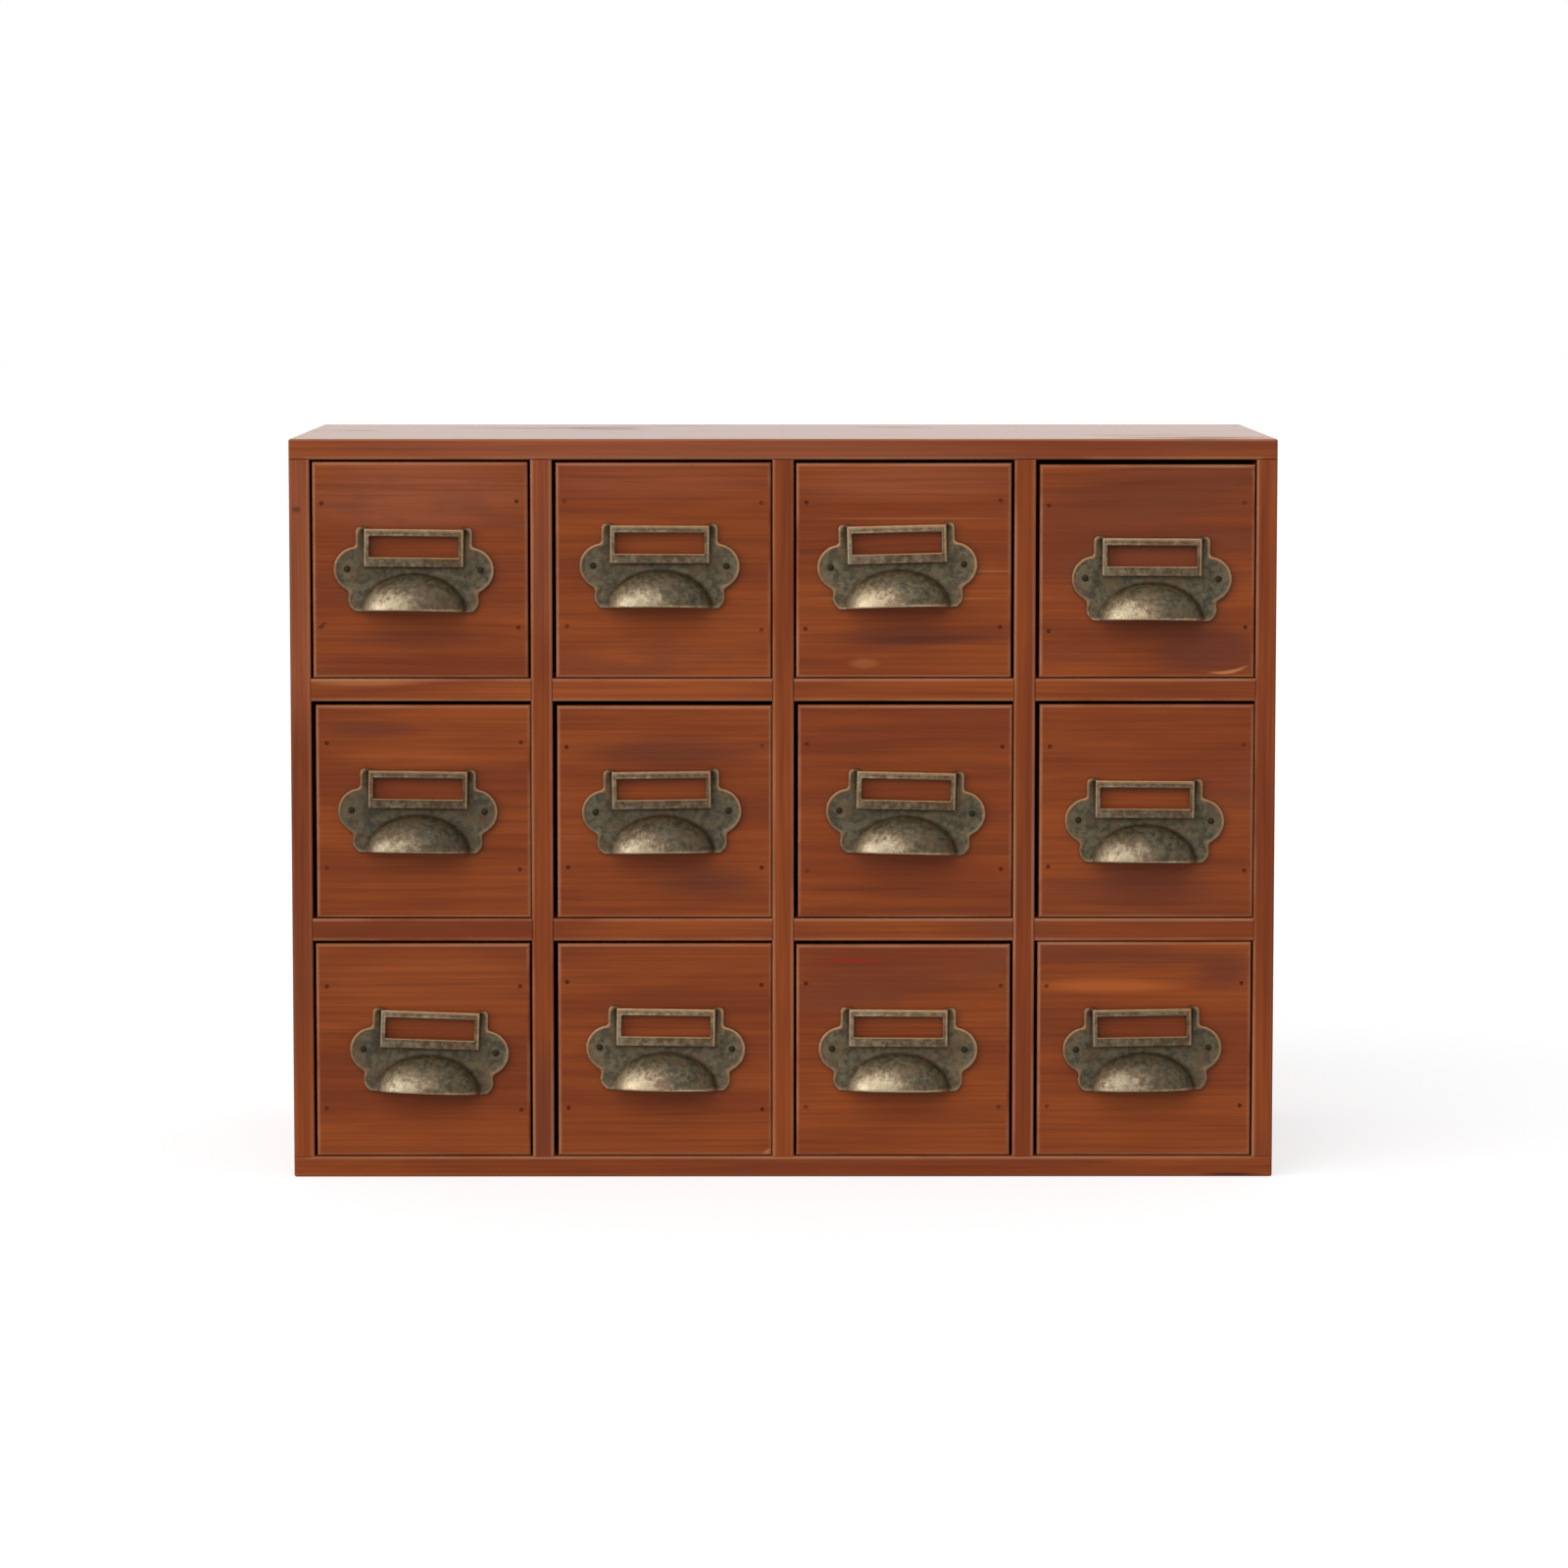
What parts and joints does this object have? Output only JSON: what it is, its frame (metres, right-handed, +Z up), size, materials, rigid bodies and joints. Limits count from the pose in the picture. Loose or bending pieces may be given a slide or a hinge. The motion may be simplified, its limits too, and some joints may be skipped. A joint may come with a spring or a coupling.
{
  "type": "seed storage cabinet",
  "caption": "Tabletop wooden storage cabinet: a nailed case divided into a grid of small square drawers, each with a cast cup pull that carries a label frame.",
  "frame": {"origin": "middle of the underside of the case, which stands on a table; the pulls reach out beyond the case's front", "axes": "+Z up, +X to the right of someone facing the drawers, and the drawers open towards -Y"},
  "size_m": [0.4, 0.1981, 0.3015],
  "materials": {
    "stained_wood": "reddish-brown stain under worn semi-gloss varnish",
    "raw_wood": "bare planed softwood",
    "plywood": "thin plywood, unvarnished",
    "antique_brass": "cast, darkened, rubbed bright on the raised edges",
    "nail_steel": "dull dark iron"
  },
  "bodies": {
    "case": {"case_top": "stained_wood", "case_bottom": "stained_wood", "case_left_side": "stained_wood", "case_right_side": "stained_wood", "divider_1": "stained_wood", "divider_2": "stained_wood", "divider_3": "stained_wood", "shelf_1": "stained_wood", "shelf_2": "stained_wood", "back_panel": "plywood", "case_nails": "nail_steel", "back_panel_nails": "nail_steel"},
    "drawer_01": {"drawer_01_front": "stained_wood", "drawer_01_box": "raw_wood", "drawer_01_pull": "antique_brass", "drawer_01_nails": "nail_steel"},
    "drawer_02": {"drawer_02_front": "stained_wood", "drawer_02_box": "raw_wood", "drawer_02_pull": "antique_brass", "drawer_02_nails": "nail_steel"},
    "drawer_03": {"drawer_03_front": "stained_wood", "drawer_03_box": "raw_wood", "drawer_03_pull": "antique_brass", "drawer_03_nails": "nail_steel"},
    "drawer_04": {"drawer_04_front": "stained_wood", "drawer_04_box": "raw_wood", "drawer_04_pull": "antique_brass", "drawer_04_nails": "nail_steel"},
    "drawer_05": {"drawer_05_front": "stained_wood", "drawer_05_box": "raw_wood", "drawer_05_pull": "antique_brass", "drawer_05_nails": "nail_steel"},
    "drawer_06": {"drawer_06_front": "stained_wood", "drawer_06_box": "raw_wood", "drawer_06_pull": "antique_brass", "drawer_06_nails": "nail_steel"},
    "drawer_07": {"drawer_07_front": "stained_wood", "drawer_07_box": "raw_wood", "drawer_07_pull": "antique_brass", "drawer_07_nails": "nail_steel"},
    "drawer_08": {"drawer_08_front": "stained_wood", "drawer_08_box": "raw_wood", "drawer_08_pull": "antique_brass", "drawer_08_nails": "nail_steel"},
    "drawer_09": {"drawer_09_front": "stained_wood", "drawer_09_box": "raw_wood", "drawer_09_pull": "antique_brass", "drawer_09_nails": "nail_steel"},
    "drawer_10": {"drawer_10_front": "stained_wood", "drawer_10_box": "raw_wood", "drawer_10_pull": "antique_brass", "drawer_10_nails": "nail_steel"},
    "drawer_11": {"drawer_11_front": "stained_wood", "drawer_11_box": "raw_wood", "drawer_11_pull": "antique_brass", "drawer_11_nails": "nail_steel"},
    "drawer_12": {"drawer_12_front": "stained_wood", "drawer_12_box": "raw_wood", "drawer_12_pull": "antique_brass", "drawer_12_nails": "nail_steel"}
  },
  "joints": [
    {"name": "drawer_01_slide", "type": "slide", "parent": "case", "child": "drawer_01", "axis": [0, -1, 0], "range_m": [0, 0.14]},
    {"name": "drawer_02_slide", "type": "slide", "parent": "case", "child": "drawer_02", "axis": [0, -1, 0], "range_m": [0, 0.14]},
    {"name": "drawer_03_slide", "type": "slide", "parent": "case", "child": "drawer_03", "axis": [0, -1, 0], "range_m": [0, 0.14]},
    {"name": "drawer_04_slide", "type": "slide", "parent": "case", "child": "drawer_04", "axis": [0, -1, 0], "range_m": [0, 0.14]},
    {"name": "drawer_05_slide", "type": "slide", "parent": "case", "child": "drawer_05", "axis": [0, -1, 0], "range_m": [0, 0.14]},
    {"name": "drawer_06_slide", "type": "slide", "parent": "case", "child": "drawer_06", "axis": [0, -1, 0], "range_m": [0, 0.14]},
    {"name": "drawer_07_slide", "type": "slide", "parent": "case", "child": "drawer_07", "axis": [0, -1, 0], "range_m": [0, 0.14]},
    {"name": "drawer_08_slide", "type": "slide", "parent": "case", "child": "drawer_08", "axis": [0, -1, 0], "range_m": [0, 0.14]},
    {"name": "drawer_09_slide", "type": "slide", "parent": "case", "child": "drawer_09", "axis": [0, -1, 0], "range_m": [0, 0.14]},
    {"name": "drawer_10_slide", "type": "slide", "parent": "case", "child": "drawer_10", "axis": [0, -1, 0], "range_m": [0, 0.14]},
    {"name": "drawer_11_slide", "type": "slide", "parent": "case", "child": "drawer_11", "axis": [0, -1, 0], "range_m": [0, 0.14]},
    {"name": "drawer_12_slide", "type": "slide", "parent": "case", "child": "drawer_12", "axis": [0, -1, 0], "range_m": [0, 0.14]}
  ]
}
